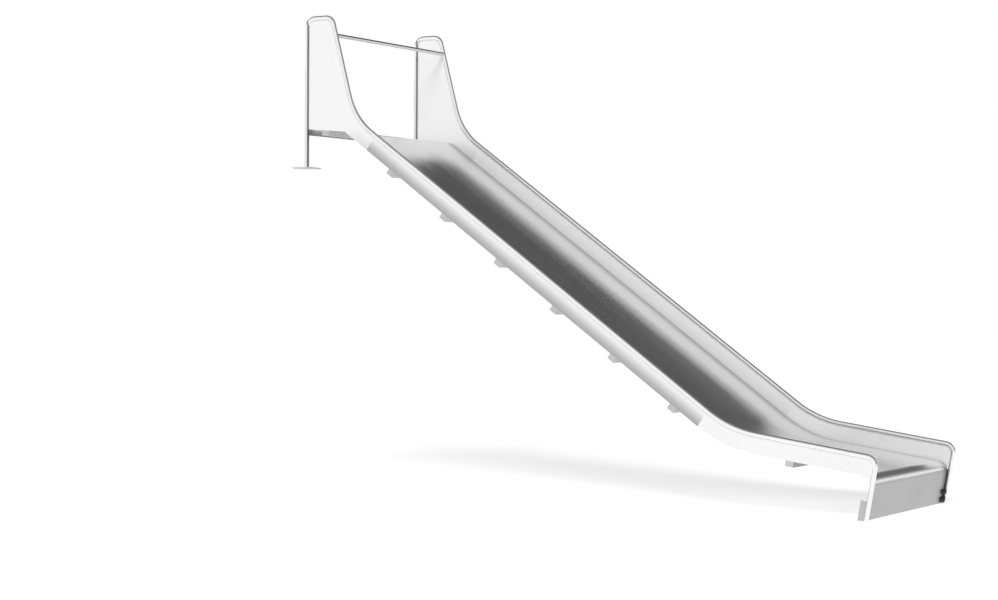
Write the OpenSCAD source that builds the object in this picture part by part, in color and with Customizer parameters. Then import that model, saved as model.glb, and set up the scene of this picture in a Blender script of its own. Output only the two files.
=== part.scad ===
// Embankment slide in stainless steel, laid on a bank: a start section with two tall
// handrails and a guard bar, a straight slope, and a run-out that ends in a rolled lip.
// X points downhill, Y to the slider's left, Z up. The origin is on the ground, under
// the middle of the flange at the foot of the front plate. All sizes are in millimetres.

/* [Width and sheet] */
// Clear width between the two side rails
clear_w = 1500; // [1000:10:2000]
// Thickness of the side panels
panel_t = 3; // [2:0.5:6]
// Thickness of the sliding sheet
bed_t = 2.5; // [1.5:0.5:5]
// Height of the rail's centreline over the sliding sheet, square to it
side_h = 130; // [100:5:250]

/* [Rail tube] */
// Outside diameter of the rail tube
rail_d = 33.7; // [25:0.1:48]
// Wall of the rail tube
rail_wall = 2.6; // [1.5:0.1:4]
// Gap between the straights and bends of one rail, which are separate solids
piece_gap = 0.02; // [0.01:0.01:0.5]
// Outside diameter of the guard bar
bar_d = 30; // [20:0.1:33]
// Wall of the guard bar
bar_wall = 2; // [1.5:0.1:4]

/* [Slope] */
// Angle of the slope from level
slope_deg = 35.6; // [28:0.1:40]
// Length of the slope from the brow to the fold of the run-out
slope_len = 3916; // [3800:1:4500]
// Bend radius of the rail from slope to run-out, on its centreline
valley_r = 800; // [400:10:850]
// Straight rail between the throat's bend and the upper seam
upper_seam_run = 50.2; // [5:0.1:200]
// Straight rail between the lower seam and the bend of the run-out
lower_seam_run = 11.4; // [5:0.1:200]

/* [Run-out and exit] */
// Angle of the run-out from level
runout_deg = 8.1; // [3:0.1:12]
// Length of the run-out from its fold to the corner over the front plate
runout_len = 1093; // [900:1:2000]
// Height of that corner over the ground
exit_h = 296; // [240:1:400]
// Outer radius of the rolled lip
roll_r = 75; // [50:5:90]
// Lean of the exit legs and the front plate from upright
leg_lean = 9.85; // [3:0.05:12]
// Bend radius of the rail into the leg, on its centreline
leg_bend_r = 65; // [50:5:80]
// Depth of the legs in the ground
leg_embed = 300; // [150:10:500]
// Depth of the flange at the foot of the front plate
toe_flange = 40; // [20:2:60]
// Height of the plate's bare ends over the ground, beside that flange
end_relief = 3; // [1:0.5:10]

/* [Platform and handrail] */
// Length of the start platform
platform_len = 356; // [350:1:500]
// Fall of the platform towards the slope
platform_deg = 5; // [0:0.5:8]
// Radius of the brow between platform and slope, on the sliding side
brow_r = 40; // [20:5:80]
// Depth of the flange at the back of the platform
back_flange = 50; // [20:5:100]
// Height of the handrail's centreline over the platform's back edge
hand_h = 846; // [800:1:950]
// Length of the handrail's level top between its corners
hand_top = 231; // [200:1:300]
// Lean of the handrail's front tube from upright
hand_lean = 15.2; // [10:0.1:18]
// Bend radius at the top of the post, on the centreline
post_bend_r = 70; // [50:5:100]
// Bend radius at the front end of the handrail's top
front_bend_r = 70; // [50:5:100]
// Bend radius where the handrail sweeps into the slope rail
throat_r = 520; // [300:10:540]
// Distance of the guard bar down the front tube from its corner
bar_drop = 146; // [120:1:250]
// Depth of the posts under the platform's back edge
post_embed = 300; // [150:10:500]

/* [Bearers] */
// Width of the bearer tube along the slide
bearer_w = 60; // [40:5:80]
// Depth of the bearer tube
bearer_h = 40; // [25:5:60]
// Wall of the bearer tube
bearer_wall = 3; // [2:0.5:5]
// Thickness of the plate that closes each end of a bearer
end_plate_t = 3; // [2:0.5:6]
// Distance of the first slope bearer from the brow
bearer_first = 534; // [450:1:560]
// Distance from one slope bearer to the next
bearer_pitch = 582; // [500:1:600]
// Distance of the run-out bearer from the fold
runout_bearer_at = 503; // [400:1:650]

/* [Exit anchors] */
// Width of each side of the anchor angle
anchor_w = 50; // [40:5:60]
// Thickness of the anchor angle
anchor_t = 5; // [4:0.5:8]
// Height of the anchors over the ground
anchor_up = 130; // [110:5:180]
// Depth of the anchors in the ground
anchor_down = 350; // [200:10:450]
// Distance of the anchors' centre from the middle of the rail
anchor_in = 45; // [43:1:80]
// Gap from each anchor to the end of the plate's flange
toe_side_gap = 10; // [2:1:40]
// Diameter of the hole for a ground pin
pin_hole_d = 13; // [9:1:18]
// Distance of that hole's centre from the foot of the anchor
pin_hole_up = 60; // [30:5:100]

/* [Exit bolts and caps] */
// Diameter of the bolts
bolt_d = 12; // [8:1:14]
// Extra diameter of the bolt holes
bolt_clear = 1; // [0.5:0.5:3]
// Height of the lower bolt
bolt_low = 30; // [25:1:40]
// Distance between the two bolts
bolt_gap = 56; // [45:1:65]
// Outside diameter of the washers
washer_d = 24; // [20:1:30]
// Thickness of the washers
washer_t = 2.5; // [1.5:0.5:4]
// Outside diameter of the domed caps
cap_d = 43; // [38:1:44]
// Straight height of a cap before its dome
cap_skirt = 10; // [6:1:16]
// Wall of a cap
cap_wall = 2.5; // [1.5:0.5:4]

/* [Post feet] */
// Side of the square foot plate
foot_w = 160; // [140:5:220]
// Thickness of the foot plate
foot_t = 8; // [5:1:15]
// Diameter of its four holes
foot_hole_d = 13; // [9:1:18]
// Distance between the holes
foot_hole_gap = 110; // [80:5:120]
// Corner radius of the foot plate
foot_corner_r = 10; // [4:1:20]

/* [Hidden] */

steel = "#c9cccd";
polished = "#d9dcdd";
zinc = "#9aa0a2";
black = "#1c1c1e";

right = -1;
left = 1;
round_fn = 96;
big_fn = 360;
beyond = 50;
cut_over = 1;
slope_bearer_count = 6;
arc_err = 0.01;
tube_fn = 40;
elbow_fn = 72;
wide_bend_r = 200;
sweep_fn = 180;

// Fasteners made to the usual proportions of a hexagon bolt
hex_af = 1.5 * bolt_d;
head_h = 0.625 * bolt_d;
nut_h = 0.9 * bolt_d;
thread_over = 3;

// Widths
rail_r = rail_d / 2;
rail_y = clear_w / 2 + rail_r;
panel_in = rail_y - panel_t / 2;
panel_out = rail_y + panel_t / 2;

// Directions in the side view, each [x, z]: along a line that falls by an angle,
// and up along a line that leans downhill from upright
function fall(a) = [cos(a), -sin(a)];
function lean(a) = [sin(a), cos(a)];
function turn_left(v) = [-v[1], v[0]];
function cross2(u, v) = u[0] * v[1] - u[1] * v[0];
function unit(v) = v / norm(v);

// Point where the line through p along u meets the line through q along v
function meet(p, u, q, v) = p + u * cross2(q - p, v) / cross2(u, v);

// Sliding side of the sheet: back edge, brow, fold, corner over the plate, foot
plate_x = toe_flange / 2;
foot = [plate_x, 0];
corner = foot + lean(leg_lean) * exit_h / cos(leg_lean);
fold = corner - fall(runout_deg) * runout_len;
brow = fold - fall(slope_deg) * slope_len;
back = brow - fall(platform_deg) * platform_len;
fold_r = valley_r + side_h;
seam_2 = fold - fall(slope_deg) * (fold_r * tan((slope_deg - runout_deg) / 2) + lower_seam_run);

// Rail centreline: it keeps side_h over the sheet, and the legs touch the plate's face
up_slope = turn_left(fall(slope_deg));
up_runout = turn_left(fall(runout_deg));
leg_foot = foot + fall(leg_lean) * rail_r;
rail_seam_2 = seam_2 + up_slope * side_h;
valley = meet(rail_seam_2, fall(slope_deg), fold + up_runout * side_h, fall(runout_deg));
leg_top = meet(valley, fall(runout_deg), leg_foot, lean(leg_lean));
post_top = back + [0, hand_h];
front_top = post_top + [hand_top, 0];
front_down = [sin(hand_lean), -cos(hand_lean)];
throat = meet(front_top, front_down, brow + up_slope * side_h, fall(slope_deg));
throat_turn = 90 - hand_lean - slope_deg;
rail_seam_1 = throat + fall(slope_deg) * (throat_r * tan(throat_turn / 2) + upper_seam_run);
seam_1 = rail_seam_1 - up_slope * side_h;
leg_end = leg_foot - lean(leg_lean) * leg_embed / cos(leg_lean);
post_end = back - [0, post_embed];

// Paths are lists of [x, z, bend radius]
start_rail_path = [
    [post_end[0], post_end[1], 0], [post_top[0], post_top[1], post_bend_r],
    [front_top[0], front_top[1], front_bend_r], [throat[0], throat[1], throat_r],
    [rail_seam_1[0], rail_seam_1[1], 0]
];
slope_rail_path = [[rail_seam_1[0], rail_seam_1[1], 0], [rail_seam_2[0], rail_seam_2[1], 0]];
runout_rail_path = [
    [rail_seam_2[0], rail_seam_2[1], 0], [valley[0], valley[1], valley_r],
    [leg_top[0], leg_top[1], leg_bend_r], [leg_end[0], leg_end[1], 0]
];
bend_in = 4;
flange_foot = back - [0, back_flange];
start_bed_path = [
    [flange_foot[0], flange_foot[1], 0], [back[0], back[1], bend_in + bed_t],
    [brow[0], brow[1], brow_r], [seam_1[0], seam_1[1], 0]
];
slope_bed_path = [[seam_1[0], seam_1[1], 0], [seam_2[0], seam_2[1], 0]];
plate_low = foot - lean(leg_lean) * beyond;
runout_bed_path = [
    [seam_2[0], seam_2[1], 0], [fold[0], fold[1], fold_r],
    [corner[0], corner[1], roll_r], [plate_low[0], plate_low[1], 0]
];
front_tube_at_bar = front_top + front_down * bar_drop;
bolt_y = rail_y - anchor_in;

// Unit direction from point i of a path to the next
function step(p, i) = unit([p[i + 1][0] - p[i][0], p[i + 1][1] - p[i][1]]);
function point(p, i) = [p[i][0], p[i][1]];

// 1 where a path turns left at point i, -1 where it turns right
function side(p, i) = cross2(step(p, i - 1), step(p, i)) > 0 ? 1 : -1;
function turn(p, i) = acos(min(1, step(p, i - 1) * step(p, i)));
function tangent(p, i) = p[i][2] * tan(turn(p, i) / 2);
function bend_start(p, i) = point(p, i) - step(p, i - 1) * tangent(p, i);
function bend_end(p, i) = point(p, i) + step(p, i) * tangent(p, i);
function bend_centre(p, i) =
    bend_start(p, i) + turn_left(step(p, i - 1)) * side(p, i) * p[i][2];

// The same path moved d to its left, with its bends kept concentric
function moved(p, d) = [
    for (i = [0 : len(p) - 1])
        i == 0 ? concat(point(p, 0) + turn_left(step(p, 0)) * d, [0])
        : i == len(p) - 1 ? concat(point(p, i) + turn_left(step(p, i - 1)) * d, [0])
        : concat(
            meet(point(p, i) + turn_left(step(p, i - 1)) * d, step(p, i - 1),
                 point(p, i) + turn_left(step(p, i)) * d, step(p, i)),
            [p[i][2] - side(p, i) * d])
];
function backwards(p) = [for (i = [len(p) - 1 : -1 : 0]) p[i]];

// Closed outline from points [x, z, corner radius]
module outline(pts) {
    n = len(pts);
    polygon([
        for (i = [0 : n - 1])
            each pts[i][2] > 0 ? arc([pts[(i + n - 1) % n], pts[i], pts[(i + 1) % n]])
                : [point(pts, i)]
    ]);
}

// Points on the arc of the corner c[1], within arc_err of the true arc
function arc(c) =
    let (
        o = bend_centre(c, 1),
        from = bend_start(c, 1) - o,
        sweep = turn(c, 1) * side(c, 1),
        parts = ceil(turn(c, 1) / (2 * acos(1 - arc_err / c[1][2])))
    )
    [for (k = [0 : parts]) o + turned(from, sweep * k / parts)];

function turned(v, a) = [v[0] * cos(a) - v[1] * sin(a), v[0] * sin(a) + v[1] * cos(a)];

// A side-view outline given depth along Y, from y0 to y1
module slab(y0, y1) {
    translate([0, y1, 0]) rotate([90, 0, 0]) linear_extrude(height = y1 - y0) children();
}

// Sheet of thickness t on the right-hand side of a path
module sheet_along(p, t) {
    outline(concat(p, backwards(moved(p, -t))));
}

// Round tube along a path in the side view, at y = 0. Its straights and bends are
// separate solids, each placed from the end of the one before and piece_gap short of it.
module tube_along(p) {
    translate([p[0][0], 0, p[0][1]]) aim(step(p, 0)) stretch(p, 0, 1);
}

// Straight stretch i of a path along Z, with all that follows it
module stretch(p, i, hand) {
    from = i == 0 ? point(p, 0) : bend_end(p, i);
    ends = i == len(p) - 2;
    to = ends ? point(p, i + 1) : bend_start(p, i + 1);
    long = norm(to - from);
    linear_extrude(height = long - (ends ? 0 : piece_gap)) tube_ring();
    if (!ends) translate([0, 0, long])
        if (side(p, i + 1) == hand) elbow(p, i + 1, hand);
        else mirror([1, 0, 0]) elbow(p, i + 1, -hand);
}

// Bend i of a path from Z towards -X, with all that follows it
module elbow(p, i, hand) {
    r = p[i][2];
    gap_deg = piece_gap / r * 180 / PI;
    fn = r > wide_bend_r ? sweep_fn : elbow_fn;
    translate([-r, 0, 0]) {
        rotate([90, 0, 0]) rotate_extrude(angle = turn(p, i) - gap_deg, $fn = fn)
            translate([r, 0]) tube_ring();
        rotate([0, -turn(p, i), 0]) translate([r, 0, 0]) stretch(p, i, hand);
    }
}

module tube_ring() {
    difference() {
        circle(d = rail_d, $fn = tube_fn);
        circle(d = rail_d - 2 * rail_wall, $fn = tube_fn);
    }
}

// Turn Z to the side-view direction v
module aim(v) {
    rotate([0, atan2(v[0], v[1]), 0]) children();
}

module on_side(s) {
    translate([0, s * rail_y, 0]) children();
}

module start_rail(s) {
    color(polished) on_side(s) tube_along(start_rail_path);
}

module slope_rail(s) {
    color(polished) on_side(s) tube_along(slope_rail_path);
}

module runout_rail(s) {
    color(polished) on_side(s) tube_along(runout_rail_path);
}

// Guard bar, its ends coped to the handrails' front tubes
module guard_bar() {
    color(polished) difference() {
        translate([front_tube_at_bar[0], 0, front_tube_at_bar[1]]) rotate([90, 0, 0]) difference() {
            cylinder(d = bar_d, h = 2 * rail_y, center = true, $fn = round_fn);
            cylinder(d = bar_d - 2 * bar_wall, h = 2 * (rail_y + cut_over), center = true, $fn = round_fn);
        }
        for (s = [right, left]) on_side(s)
            translate([front_tube_at_bar[0], 0, front_tube_at_bar[1]]) aim(front_down)
                cylinder(d = rail_d, h = 4 * rail_d, center = true, $fn = round_fn);
    }
}

module panel(s) {
    slab(s * rail_y - panel_t / 2, s * rail_y + panel_t / 2) children();
}

// Tall panel of the start: inside the handrail, down to the underside of the sheet
module start_panel(s) {
    inside = moved(start_rail_path, -rail_r);
    under = moved([start_bed_path[1], start_bed_path[2], start_bed_path[3]], -bed_t);
    post_face = inside[0][0];
    back_low = meet(point(under, 0), step(under, 0), [post_face, 0], [0, 1]);
    color(steel) panel(s) outline([
        [back_low[0], back_low[1], 0], inside[1], inside[2], inside[3], inside[4],
        under[2], under[1]
    ]);
}

module slope_panel(s) {
    color(steel) panel(s) outline(concat(
        moved(slope_rail_path, -rail_r), backwards(moved(slope_bed_path, -bed_t))
    ));
}

// Panel of the run-out: its front end fills the corner under the rail, behind the leg
module runout_panel(s) {
    top = moved(runout_rail_path, -rail_r);
    under = moved(runout_bed_path, -bed_t);
    tip_in = bend_end(under, 2);
    tip_out = tip_in + fall(leg_lean) * bed_t;
    color(steel) panel(s) outline([
        top[0], top[1], top[2], [tip_out[0], tip_out[1], 0], [tip_in[0], tip_in[1], 0],
        under[2], under[1], under[0]
    ]);
}

module bed(p) {
    slab(-panel_in, panel_in) sheet_along(p, bed_t);
}

// Start sheet, with a flange at its back and its corners cut round the posts
module start_bed() {
    color(steel) difference() {
        bed(start_bed_path);
        for (s = [right, left]) on_side(s) translate([post_top[0], 0, post_end[1]])
            cylinder(d = rail_d, h = post_embed + rail_d, $fn = round_fn);
    }
}

module slope_bed() {
    color(steel) bed(slope_bed_path);
}

// Turn the axes to the front plate: X out of its face, Z up along it, foot at the origin
module at_plate() {
    translate([plate_x, 0, 0]) rotate([0, leg_lean, 0]) children();
}

module bolt_places() {
    for (z = [bolt_low, bolt_low + bolt_gap])
        at_plate() translate([0, left * bolt_y, z]) rotate([0, 90, 0]) children();
}

module bolt_holes() {
    bolt_places() cylinder(d = bolt_d + bolt_clear, h = 2 * beyond, center = true, $fn = round_fn);
}

// Run-out sheet with the rolled lip, the front plate and the flange at its foot
module runout_bed() {
    toe_y = bolt_y - anchor_w / 2 - toe_side_gap;
    color(steel) difference() {
        union() {
            bed(runout_bed_path);
            translate([plate_x - toe_flange, -toe_y, 0]) cube([toe_flange, 2 * toe_y, bed_t]);
        }
        translate([-beyond, -rail_y, -2 * beyond]) cube([3 * beyond, 2 * rail_y, 2 * beyond]);
        for (y = [-rail_y, toe_y]) translate([-beyond, y, -2 * beyond])
            cube([3 * beyond, rail_y - toe_y, 2 * beyond + end_relief]);
        bolt_holes();
    }
}

// Rectangular tube across the slide, its top at the origin, falling by an angle
module bearer(at, a) {
    long = 2 * (panel_out - end_plate_t);
    color(zinc) bearer_place(at, a) difference() {
        translate([-bearer_w / 2, -long / 2, -bearer_h]) cube([bearer_w, long, bearer_h]);
        translate([bearer_wall - bearer_w / 2, -long / 2 - cut_over, bearer_wall - bearer_h])
            cube([bearer_w - 2 * bearer_wall, long + 2 * cut_over, bearer_h - 2 * bearer_wall]);
    }
}

module bearer_place(at, a) {
    q = at - turn_left(fall(a)) * bed_t;
    translate([q[0], 0, q[1]]) rotate([0, a, 0]) children();
}

function slope_bearer_at(i) = brow + fall(slope_deg) * (bearer_first + (i - 1) * bearer_pitch);
platform_bearer_at = back + fall(platform_deg) * platform_len / 2;
runout_bearer_point = fold + fall(runout_deg) * runout_bearer_at;

module slope_bearer(i) {
    bearer(slope_bearer_at(i), slope_deg);
}

module platform_bearer() {
    bearer(platform_bearer_at, platform_deg);
}

module runout_bearer() {
    bearer(runout_bearer_point, runout_deg);
}

// Plates that close the ends of all bearers, flush with the side panels
module bearer_end_plates() {
    places = concat(
        [[platform_bearer_at, platform_deg]],
        [for (i = [1 : slope_bearer_count]) [slope_bearer_at(i), slope_deg]],
        [[runout_bearer_point, runout_deg]]
    );
    color(zinc) for (q = places, s = [right, left]) bearer_place(q[0], q[1])
        translate([-bearer_w / 2, s > 0 ? panel_out - end_plate_t : -panel_out, -bearer_h])
            cube([bearer_w, end_plate_t, bearer_h]);
}

// Angle behind the front plate that runs down into the ground
module exit_anchor(s) {
    low = -anchor_down;
    tall = anchor_up + anchor_down;
    color(zinc) difference() {
        at_plate() translate([-bed_t, s * bolt_y, low]) mirror([0, s < 0 ? 1 : 0, 0]) {
            translate([-anchor_t, -anchor_w / 2, 0]) cube([anchor_t, anchor_w, tall]);
            translate([-anchor_w, anchor_w / 2 - anchor_t, 0]) cube([anchor_w, anchor_t, tall]);
        }
        at_plate() translate([-bed_t - (anchor_w + anchor_t) / 2, s * bolt_y, low + pin_hole_up])
            rotate([90, 0, 0]) cylinder(d = pin_hole_d, h = 2 * anchor_w, center = true, $fn = round_fn);
        if (s == left) bolt_holes();
    }
}

module hexagon(af, h) {
    cylinder(d = af / cos(30), h = h, $fn = 6);
}

grip = bed_t + anchor_t;
shank_end = grip + washer_t + nut_h + thread_over;

// Hexagon bolts, heads outside, measured from the plate's face
module exit_bolts() {
    color(zinc) bolt_places() {
        translate([0, 0, washer_t]) hexagon(hex_af, head_h);
        translate([0, 0, -shank_end]) cylinder(d = bolt_d, h = shank_end + washer_t, $fn = round_fn);
    }
}

module washer() {
    difference() {
        cylinder(d = washer_d, h = washer_t, $fn = round_fn);
        translate([0, 0, -cut_over])
            cylinder(d = bolt_d + bolt_clear, h = washer_t + 2 * cut_over, $fn = round_fn);
    }
}

module exit_washers() {
    color(zinc) bolt_places() {
        washer();
        translate([0, 0, -grip - washer_t]) washer();
    }
}

module exit_nuts() {
    color(zinc) bolt_places() translate([0, 0, -grip - washer_t - nut_h]) difference() {
        hexagon(hex_af, nut_h);
        translate([0, 0, -cut_over]) cylinder(d = bolt_d, h = nut_h + 2 * cut_over, $fn = round_fn);
    }
}

// Domed caps over the bolt heads
module exit_caps() {
    color(black) bolt_places() difference() {
        dome(cap_d / 2, cap_skirt);
        translate([0, 0, -cut_over]) dome(cap_d / 2 - cap_wall, cap_skirt + cut_over);
    }
}

module dome(r, skirt) {
    rotate_extrude($fn = round_fn) {
        square([r, skirt]);
        translate([0, skirt]) intersection() {
            circle(r = r, $fn = big_fn);
            square([r, r]);
        }
    }
}

// Square plate under a post, with four holes for footing bolts
module post_foot(s) {
    color(zinc) on_side(s) translate([post_end[0], 0, post_end[1] - foot_t]) difference() {
        linear_extrude(height = foot_t) outline([
            for (c = [[-1, -1], [1, -1], [1, 1], [-1, 1]])
                [c[0] * foot_w / 2, c[1] * foot_w / 2, foot_corner_r]
        ]);
        for (x = [-1, 1], y = [-1, 1])
            translate([x * foot_hole_gap / 2, y * foot_hole_gap / 2, -cut_over])
                cylinder(d = foot_hole_d, h = foot_t + 2 * cut_over, $fn = round_fn);
    }
}

start_rail(right);  // right_start_rail
start_rail(left);  // left_start_rail
slope_rail(right);  // right_slope_rail
slope_rail(left);  // left_slope_rail
runout_rail(right);  // right_runout_rail
runout_rail(left);  // left_runout_rail
guard_bar();
start_panel(right);  // right_start_panel
start_panel(left);  // left_start_panel
slope_panel(right);  // right_slope_panel
slope_panel(left);  // left_slope_panel
runout_panel(right);  // right_runout_panel
runout_panel(left);  // left_runout_panel
start_bed();
slope_bed();
runout_bed();
platform_bearer();
slope_bearer(1);  // slope_bearer_1
slope_bearer(2);  // slope_bearer_2
slope_bearer(3);  // slope_bearer_3
slope_bearer(4);  // slope_bearer_4
slope_bearer(5);  // slope_bearer_5
slope_bearer(6);  // slope_bearer_6
runout_bearer();
bearer_end_plates();
exit_anchor(right);  // right_exit_anchor
exit_anchor(left);  // left_exit_anchor
exit_bolts();
exit_washers();
exit_nuts();
exit_caps();
post_foot(right);  // right_post_foot
post_foot(left);  // left_post_foot
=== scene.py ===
"""Stainless steel embankment slide: finishes, floor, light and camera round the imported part."""
import math

import bpy
from mathutils import Matrix, Vector


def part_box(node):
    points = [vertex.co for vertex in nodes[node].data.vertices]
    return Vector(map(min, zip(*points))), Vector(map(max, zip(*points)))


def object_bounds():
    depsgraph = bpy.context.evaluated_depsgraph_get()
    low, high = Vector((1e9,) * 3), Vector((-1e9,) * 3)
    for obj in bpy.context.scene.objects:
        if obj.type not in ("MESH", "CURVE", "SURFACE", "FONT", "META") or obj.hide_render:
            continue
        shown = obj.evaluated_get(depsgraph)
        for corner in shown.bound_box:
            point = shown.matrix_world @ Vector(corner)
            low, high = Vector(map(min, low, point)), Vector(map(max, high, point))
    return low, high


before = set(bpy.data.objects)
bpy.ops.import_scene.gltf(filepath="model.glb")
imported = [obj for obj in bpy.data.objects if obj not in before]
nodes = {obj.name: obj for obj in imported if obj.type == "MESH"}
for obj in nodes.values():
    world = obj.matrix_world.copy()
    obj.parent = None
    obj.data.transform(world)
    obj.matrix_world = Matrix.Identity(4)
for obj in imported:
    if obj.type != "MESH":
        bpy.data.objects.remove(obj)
cad_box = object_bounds()
SIDES = ("right", "left")


def middle(name):
    """Middle of a node's box."""
    low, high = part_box(name)
    return (Vector(low) + Vector(high)) / 2


def grey(level):
    """The same level in red, green and blue."""
    return (level, level, level)


# Places in metres, from the frame
OBJECT_MIDDLE = (Vector(cad_box[0]) + Vector(cad_box[1])) / 2
rail_low, rail_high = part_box("left_slope_rail")
RAIL_R = (rail_high[1] - rail_low[1]) / 2
RAIL_Y = rail_low[1] + RAIL_R
POST_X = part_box("left_start_rail")[0][0] + RAIL_R

# How steeply each stretch falls; the run-out's angle is repeated from the part's source
slope_line = middle("slope_bearer_6") - middle("slope_bearer_1")
SLOPE = math.atan2(-slope_line.z, slope_line.x)
RUNOUT = math.radians(8.1)
UPRIGHT = math.pi / 2

# The slope's sheet: half its width, and then, in axes that fall with the slope, the height of
# its sliding face and the place of its upper seam
sheet_low, sheet_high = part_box("slope_bed")
SHEET_EDGE = sheet_high[1]
SHEET_UP = sheet_low[0] * math.sin(SLOPE) + sheet_high[2] * math.cos(SLOPE)
SEAM_ALONG = sheet_low[0] * math.cos(SLOPE) - sheet_high[2] * math.sin(SLOPE)

# What most of a noise's values lie between
NOISE_LOW = 0.3
NOISE_HIGH = 0.7


class Nodes:
    """The node tree of a material or a world, with short calls to add and join nodes."""

    def __init__(self, owner):
        owner.use_nodes = True
        self.tree = owner.node_tree
        self.shader = self.tree.nodes.get("Principled BSDF")

    def add(self, kind, **settings):
        node = self.tree.nodes.new("ShaderNode" + kind)
        for key, value in settings.items():
            setattr(node, key, value)
        return node

    def join(self, source, target):
        self.tree.links.new(source, target)

    def feed(self, value, socket):
        """Set a socket to a number, or join another socket to it."""
        if isinstance(value, (int, float)):
            socket.default_value = value
        else:
            self.join(value, socket)

    def coordinates(self, rotation=(0, 0, 0), scale=(1, 1, 1)):
        place = self.add("TexCoord")
        mapping = self.add("Mapping", vector_type="TEXTURE")
        mapping.inputs["Rotation"].default_value = rotation
        mapping.inputs["Scale"].default_value = scale
        self.join(place.outputs["Object"], mapping.inputs["Vector"])
        return mapping.outputs["Vector"]

    def along(self, axis, fall=0):
        """Place along an axis in metres, in axes that fall by an angle."""
        split = self.add("SeparateXYZ")
        self.join(self.coordinates((0, fall, 0)), split.inputs["Vector"])
        return split.outputs[axis]

    def noise(self, vector, scale=1.0, detail=3, rough=0.5):
        node = self.add("TexNoise")
        node.inputs["Scale"].default_value = scale
        node.inputs["Detail"].default_value = detail
        node.inputs["Roughness"].default_value = rough
        self.join(vector, node.inputs["Vector"])
        return node.outputs["Fac"]

    def spread(self, value, low, high, start=NOISE_LOW, end=NOISE_HIGH, curve="SMOOTHSTEP"):
        """From low to high as the value goes from start to end."""
        node = self.add("MapRange", interpolation_type=curve)
        node.inputs["From Min"].default_value = start
        node.inputs["From Max"].default_value = end
        node.inputs["To Min"].default_value = low
        node.inputs["To Max"].default_value = high
        self.join(value, node.inputs["Value"])
        return node.outputs["Result"]

    def ramp(self, value, levels):
        """A grey that follows the value, from pairs of a value and its level."""
        node = self.add("ValToRGB")
        stops = node.color_ramp.elements
        while len(stops) < len(levels):
            stops.new(0.5)
        for stop, (at, level) in zip(stops, levels):
            stop.position = at
            stop.color = (*grey(level), 1)
        self.join(value, node.inputs["Fac"])
        return node.outputs["Color"]

    def math(self, operation, first, second=0.0):
        node = self.add("Math", operation=operation)
        self.feed(first, node.inputs[0])
        self.feed(second, node.inputs[1])
        return node.outputs["Value"]

    def mix(self, share, first, second):
        """The first value, with a share of the second."""
        node = self.add("Mix")
        self.feed(share, node.inputs["Factor"])
        self.feed(first, node.inputs["A"])
        self.feed(second, node.inputs["B"])
        return node.outputs["Result"]

    def colour(self, tone, dark, light, shade=None):
        """Base colour between two greys, made darker by painted shade."""
        # The mix node's colour sockets are 6 and 7, and 2 is what comes out
        node = self.add("Mix", data_type="RGBA")
        node.inputs[6].default_value = (*grey(dark), 1)
        node.inputs[7].default_value = (*grey(light), 1)
        self.join(tone, node.inputs[0])
        result = node.outputs[2]
        if shade:
            scaled = self.add("VectorMath", operation="SCALE")
            self.join(result, scaled.inputs[0])
            self.join(shade, scaled.inputs["Scale"])
            result = scaled.outputs["Vector"]
        self.join(result, self.shader.inputs["Base Color"])

    def bump(self, height, strength, distance):
        node = self.add("Bump")
        node.inputs["Strength"].default_value = strength
        node.inputs["Distance"].default_value = distance
        self.join(height, node.inputs["Height"])
        self.join(node.outputs["Normal"], self.shader.inputs["Normal"])

    def seen(self):
        """1 for the rays by which the camera, gloss and glass see a surface."""
        rays = self.add("LightPath")
        most = self.math("MAXIMUM", rays.outputs["Is Camera Ray"], rays.outputs["Is Glossy Ray"])
        return self.math("MAXIMUM", most, rays.outputs["Is Transmission Ray"])


# Brushed steel: fine lines and patches of tone, and long smears of roughness
LINE_DETAIL = 4
LINE_ROUGH = 0.6
PATCH_SCALE = 1.7
PATCH_SHARE = 0.45
SMEAR = (0.9, 0.16, 0.16)
LINE_DEPTH = 0.0003
BRUSH_ALONG_X = (30, 700, 700)
BRUSH_ALONG_Y = (700, 30, 700)


def steel(name, fall, level, rough, brush=BRUSH_ALONG_X, grain=0.008, contrast=0.05,
          metal=1.0, shade=None, matt=None):
    """Brushed steel in axes that fall by an angle.

    brush is about how many lines a metre holds along each axis. grain is how strongly they
    stand out, and contrast is how much darker the dark patches are. shade is painted shade,
    which makes the colour darker from place to place, and matt makes it rougher.
    """
    material = bpy.data.materials.new(name)
    n = Nodes(material)
    n.shader.inputs["Metallic"].default_value = metal
    line_size = tuple(1 / count for count in brush)
    lines = n.noise(n.coordinates((0, fall, 0), line_size), detail=LINE_DETAIL, rough=LINE_ROUGH)
    patches = n.noise(n.coordinates(), PATCH_SCALE)
    smears = n.noise(n.coordinates((0, fall, 0), SMEAR))
    tone = n.spread(n.mix(PATCH_SHARE, lines, patches), 0, 1)
    n.colour(tone, level - contrast, level, shade(n) if shade else None)
    finish = n.spread(smears, *rough)
    if matt:
        finish = n.math("ADD", finish, matt(n))
    n.join(finish, n.shader.inputs["Roughness"])
    n.bump(lines, grain, LINE_DEPTH)
    return material


# Glossy black plastic with faint scuffs and pores
CAP_DARK = 0.008
CAP_LIGHT = 0.022
CAP_ROUGH = (0.04, 0.12)
SCUFF_SCALE = 90
SCUFF_DETAIL = 5
SCUFF_ROUGH = 0.6
PORE_SCALE = 420
PORE_DETAIL = 2
PORE_GRAIN = 0.02
PORE_DEPTH = 0.0005


def cap_plastic():
    material = bpy.data.materials.new("cap_plastic")
    n = Nodes(material)
    scuffs = n.noise(n.coordinates(), SCUFF_SCALE, SCUFF_DETAIL, SCUFF_ROUGH)
    n.colour(n.spread(scuffs, 0, 1), CAP_DARK, CAP_LIGHT)
    n.join(n.spread(scuffs, *CAP_ROUGH), n.shader.inputs["Roughness"])
    n.bump(n.noise(n.coordinates(), PORE_SCALE, PORE_DETAIL), PORE_GRAIN, PORE_DEPTH)
    return material


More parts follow.
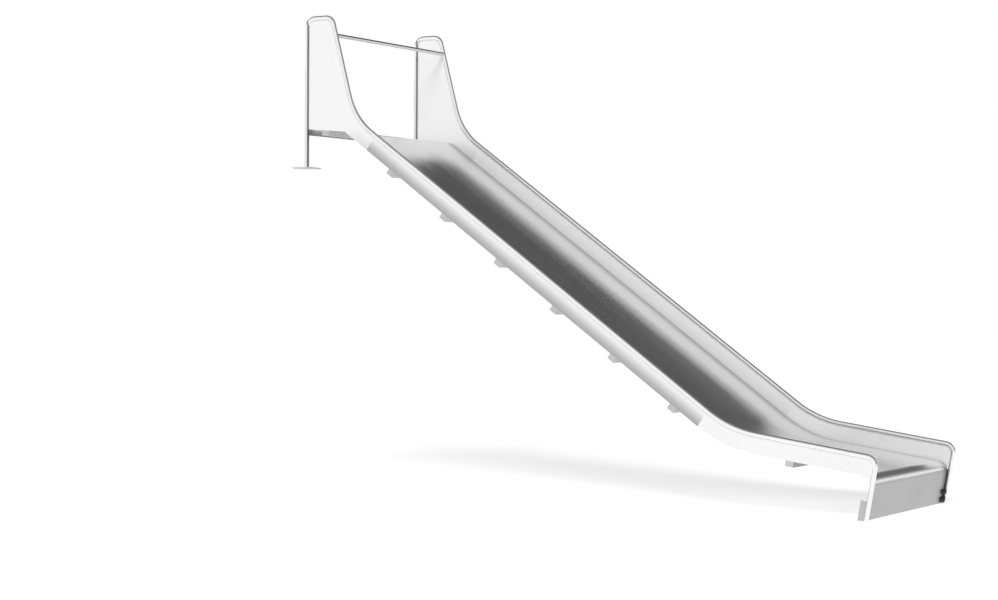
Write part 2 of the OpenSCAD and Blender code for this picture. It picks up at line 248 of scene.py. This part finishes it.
def paint(names, material):
    """Give nodes a material."""
    for name in names:
        mesh = nodes[name].data
        mesh.materials.clear()
        mesh.materials.append(material)


def each_side(part):
    return [side + part for side in SIDES]


# The shades below are laid on by place, to come near the photo's tones

# Sliding sheet: painted shade, darker beside the folds
FOLD_SHADE_BAND = 0.14
FOLD_SHADE_TONE = 0.5


def fold_painted_shade(n):
    """Painted shade: darker towards the folds between the sliding sheet and the sides."""
    side = n.math("ABSOLUTE", n.along("Y"))
    return n.spread(side, 1, FOLD_SHADE_TONE, SHEET_EDGE - FOLD_SHADE_BAND, SHEET_EDGE)


# Front plate: darker (painted shade) and more matt below this height
PLATE_TOP = 0.236
PLATE_BLEND = 0.02
PLATE_SHADE_TONE = 0.66
PLATE_MATT = 0.34


# Painted shade on the plate, together with the painted shade beside the folds
def plate_painted_shade(n):
    plate = n.spread(n.along("Z"), PLATE_SHADE_TONE, 1, PLATE_TOP, PLATE_TOP + PLATE_BLEND)
    return n.math("MULTIPLY", plate, fold_painted_shade(n))


def plate_matt(n):
    return n.spread(n.along("Z"), PLATE_MATT, 0, PLATE_TOP, PLATE_TOP + PLATE_BLEND)


# Sides: painted shade, darker towards their lower edge, over this height above the sheet
LOW_SHADE_BAND = 0.12
INNER_SHADE_TONE = 0.92
OUTER_SHADE_TONE = 0.45
FACE_BLEND = 0.0005
START_SHADE_TONE = 0.8
START_SHADE_FADE = 0.3


def side_painted_shade(n):
    """Painted shade: much darker low on the outer face, and a little on the inner one."""
    across = n.math("ABSOLUTE", n.along("Y"))
    shade_depth = n.spread(across, 1 - INNER_SHADE_TONE, 1 - OUTER_SHADE_TONE, RAIL_Y - FACE_BLEND, RAIL_Y + FACE_BLEND)
    low = n.spread(n.along("Z", SLOPE), 1, 0, SHEET_UP, SHEET_UP + LOW_SHADE_BAND)
    return n.math("SUBTRACT", 1, n.math("MULTIPLY", low, shade_depth))


def start_painted_shade(n):
    """Painted shade: darker low down, but only just above the seam with the slope."""
    low = n.spread(n.along("Z", SLOPE), 1 - START_SHADE_TONE, 0, SHEET_UP, SHEET_UP + LOW_SHADE_BAND)
    near = n.spread(n.along("X", SLOPE), 0, 1, SEAM_ALONG - START_SHADE_FADE, SEAM_ALONG)
    return n.math("SUBTRACT", 1, n.math("MULTIPLY", low, near))


# Posts: a painted dark reflection, a line down the downhill side, from and to these distances off their
# middle
REFLECTION_FROM = 0.35 * RAIL_R
REFLECTION_FULL = 0.65 * RAIL_R
REFLECTION_FADE = 0.004
REFLECTION_TONE = 0.22


# Painted dark reflection: a dark line down each post's downhill side
def post_painted_reflection(n):
    x = n.along("X")
    begins = n.spread(x, 0, 1 - REFLECTION_TONE, POST_X + REFLECTION_FROM, POST_X + REFLECTION_FULL)
    ends = n.spread(x, 1, 0, POST_X + RAIL_R, POST_X + RAIL_R + REFLECTION_FADE)
    return n.math("SUBTRACT", 1, n.math("MULTIPLY", begins, ends))


# Lightness of each kind of steel, and the roughness that its smears go from and to
SHEET_GREY = 0.86
SHEET_ROUGH = (0.15, 0.2)
SIDE_GREY = 0.95
RUNOUT_SIDE_GREY = 0.94
SIDE_ROUGH = (0.3, 0.36)
SIDE_METAL = 0.3
TUBE_GREY = 0.9
TUBE_ROUGH = (0.05, 0.08)
TUBE_GRAIN = 0.0015
DARK_GREY = 0.62
BEARER_ROUGH = (0.3, 0.42)
GROUND_ROUGH = (0.38, 0.5)
FASTENER_GREY = 0.68
FASTENER_ROUGH = (0.25, 0.35)


def paint_sheet():
    paint(["slope_bed"], steel("slope_sheet", SLOPE, SHEET_GREY, SHEET_ROUGH, shade=fold_painted_shade))
    paint(["start_bed"], steel("start_sheet", SLOPE, SHEET_GREY, SHEET_ROUGH, shade=fold_painted_shade))
    paint(["runout_bed"],
          steel("runout_sheet", RUNOUT, SHEET_GREY, SHEET_ROUGH, shade=plate_painted_shade, matt=plate_matt))


def paint_sides():
    """Less metallic than real steel, to come near the photo's white sides."""
    paint(each_side("_slope_panel"),
          steel("slope_side", SLOPE, SIDE_GREY, SIDE_ROUGH, metal=SIDE_METAL, shade=side_painted_shade))
    paint(each_side("_start_panel"),
          steel("start_side", UPRIGHT, SIDE_GREY, SIDE_ROUGH, contrast=0.03, metal=SIDE_METAL,
                shade=start_painted_shade))
    paint(each_side("_runout_panel"),
          steel("runout_side", RUNOUT, RUNOUT_SIDE_GREY, SIDE_ROUGH, contrast=0.04, metal=SIDE_METAL))


def paint_tubes():
    paint(each_side("_slope_rail"), steel("slope_tube", SLOPE, TUBE_GREY, TUBE_ROUGH, grain=TUBE_GRAIN))
    paint(each_side("_runout_rail"), steel("runout_tube", RUNOUT, TUBE_GREY, TUBE_ROUGH, grain=TUBE_GRAIN))
    paint(each_side("_start_rail"),
          steel("start_tube", UPRIGHT, TUBE_GREY, TUBE_ROUGH, grain=TUBE_GRAIN, shade=post_painted_reflection))
    paint(["guard_bar"],
          steel("bar_tube", 0, DARK_GREY, TUBE_ROUGH, brush=BRUSH_ALONG_Y, grain=TUBE_GRAIN))


def paint_frame():
    """The bearers, what stands in the ground, and the two capped bolts."""
    bearers = ["platform_bearer", "runout_bearer", "bearer_end_plates"]
    bearers += [name for name in nodes if name.startswith("slope_bearer_")]
    paint(bearers, steel("mill_steel", SLOPE, DARK_GREY, BEARER_ROUGH, grain=0.06, contrast=0.1))
    paint(each_side("_post_foot") + each_side("_exit_anchor"),
          steel("ground_steel", 0, DARK_GREY, GROUND_ROUGH, grain=0.08, contrast=0.14))
    paint(["exit_bolts", "exit_washers", "exit_nuts"],
          steel("fastener_steel", 0, FASTENER_GREY, FASTENER_ROUGH, grain=0.06, contrast=0.1))
    paint(["exit_caps"], cap_plastic())


def matt_grey(name, level, glow=0.0):
    """Matt grey. A glow shows to the camera, gloss and glass, and lights nothing else."""
    material = bpy.data.materials.new(name)
    n = Nodes(material)
    n.shader.inputs["Base Color"].default_value = (*grey(level), 1)
    n.shader.inputs["Roughness"].default_value = 1.0
    n.shader.inputs["Specular IOR Level"].default_value = 0.0
    if glow:
        n.shader.inputs["Emission Color"].default_value = (1, 1, 1, 1)
        n.join(n.math("MULTIPLY", n.seen(), glow), n.shader.inputs["Emission Strength"])
    return material


def flat(name, corners, material):
    """Flat sheet with four corners, which is not part of the object."""
    mesh = bpy.data.meshes.new(name)
    mesh.from_pydata(corners, [], [(0, 1, 2, 3)])
    mesh.materials.append(material)
    thing = bpy.data.objects.new(name, mesh)
    bpy.context.scene.collection.objects.link(thing)
    return thing


# Floor at ground level: it glows up to white where it is seen, and keeps the object's shadow
FLOOR_HALF = 60
FLOOR_Z = -0.001
FLOOR_GREY = 0.72
FLOOR_GLOW = 0.58


def make_floor():
    h = FLOOR_HALF
    floor = flat("floor", [(-h, -h, 0), (h, -h, 0), (h, h, 0), (-h, h, 0)],
                 matt_grey("floor_white", FLOOR_GREY, FLOOR_GLOW))
    floor.location.z = FLOOR_Z


# Dark cards off the object's ends, which draw the tubes' edges. Each has a name, a heading in
# degrees from +X, a distance and a width. It faces the object, shows in gloss and not to the
# camera, and casts no shadow.
CARD_GREY = 0.03
CARD_HEIGHT = 4.2
CARDS = (("card_downhill", 27, 11, 4.5), ("card_uphill", 180, 12, 4))


def make_card(name, heading, away, width):
    w = width / 2
    thing = flat(name, [(0, -w, 0), (0, w, 0), (0, w, CARD_HEIGHT), (0, -w, CARD_HEIGHT)],
                 matt_grey(name, CARD_GREY))
    turn = math.radians(heading)
    thing.location = (OBJECT_MIDDLE.x + away * math.cos(turn), OBJECT_MIDDLE.y + away * math.sin(turn), 0)
    thing.rotation_euler.z = turn
    thing.visible_camera = False
    thing.visible_diffuse = False
    thing.visible_shadow = False


# World, the same for all rays: white up to just above the horizon, then a dark ring, which the
# sheet mirrors into the photo's view, and grey overhead. Each stop of SKY is a height, from 0
# straight down to 1 straight up, and its level.
SKY = ((0.0, 1.0), (0.572, 1.0), (0.597, 0.78), (0.65, 0.17), (0.72, 0.09),
       (0.8, 0.09), (0.86, 0.16), (0.96, 0.17), (1.0, 0.34))
# Downhill it is at least this level; the change begins and ends at these X of a direction
DOWNHILL_GREY = 0.3
DOWNHILL_FROM = 0.15
DOWNHILL_FULL = 0.45
# In front it is white low down and grey high up; the changes begin and end at these Y of a
# direction and at these heights
FRONT_FROM = -0.25
FRONT_FULL = -0.6
FRONT_LOW = 1.0
FRONT_HIGH = 0.7
HIGH_FROM = 0.75
HIGH_FULL = 0.87


def make_world():
    world = bpy.data.worlds.new("studio")
    bpy.context.scene.world = world
    n = Nodes(world)
    n.tree.nodes.clear()
    place = n.add("TexCoord")
    split = n.add("SeparateXYZ")
    n.join(place.outputs["Generated"], split.inputs["Vector"])
    height = n.spread(split.outputs["Z"], 0, 1, -1, 1, "LINEAR")
    downhill = n.spread(split.outputs["X"], 0, DOWNHILL_GREY, DOWNHILL_FROM, DOWNHILL_FULL, "LINEAR")
    sky = n.math("MAXIMUM", n.ramp(height, SKY), downhill)
    in_front = n.spread(split.outputs["Y"], 0, 1, FRONT_FROM, FRONT_FULL, "LINEAR")
    front = n.spread(height, FRONT_LOW, FRONT_HIGH, HIGH_FROM, HIGH_FULL, "LINEAR")
    light = n.add("Background")
    n.join(n.mix(in_front, sky, front), light.inputs["Color"])
    out = n.add("OutputWorld")
    n.join(light.outputs["Background"], out.inputs["Surface"])


# Soft sun that shines from the direction of a point; its spread is in degrees
SUN_FROM = Vector((4, -9, 8))
SUN_STRENGTH = 1.45
SUN_SPREAD = 22


def make_sun():
    """Gloss doesn't see it, so that it leaves no glare on the sheet."""
    data = bpy.data.lights.new("key", "SUN")
    data.energy = SUN_STRENGTH
    data.angle = math.radians(SUN_SPREAD)
    thing = bpy.data.objects.new("key", data)
    bpy.context.scene.collection.objects.link(thing)
    thing.rotation_euler = (-SUN_FROM).to_track_quat("-Z", "Y").to_euler()
    thing.visible_glossy = False


# Camera: its place in metres, its turns in degrees, and its lens
CAMERA_AT = Vector((5.444, -14.535, 1.528))
CAMERA_YAW = 30.96
CAMERA_PITCH = 0.271
CAMERA_ROLL = 0.293
LENS_MM = 79.24
SENSOR_MM = 36
CLIP_END = 200


def make_camera():
    yaw = math.radians(CAMERA_YAW)
    pitch = math.radians(CAMERA_PITCH)
    roll = math.radians(CAMERA_ROLL)
    level = Vector((math.cos(yaw), math.sin(yaw), 0))
    back = Vector((math.sin(yaw) * math.cos(pitch), -math.cos(yaw) * math.cos(pitch), math.sin(pitch)))
    above = back.cross(level)
    right = math.cos(roll) * level + math.sin(roll) * above
    up = math.cos(roll) * above - math.sin(roll) * level
    data = bpy.data.cameras.new("camera")
    data.lens = LENS_MM
    data.sensor_width = SENSOR_MM
    data.clip_end = CLIP_END
    camera = bpy.data.objects.new("camera", data)
    bpy.context.scene.collection.objects.link(camera)
    turn = Matrix((right, up, back)).transposed().to_4x4()
    camera.matrix_world = Matrix.Translation(CAMERA_AT) @ turn
    bpy.context.scene.camera = camera


paint_sheet()
paint_sides()
paint_tubes()
paint_frame()
for card in CARDS:
    make_card(*card)
make_floor()
make_world()
make_sun()
make_camera()
bpy.context.scene.view_settings.view_transform = "Standard"
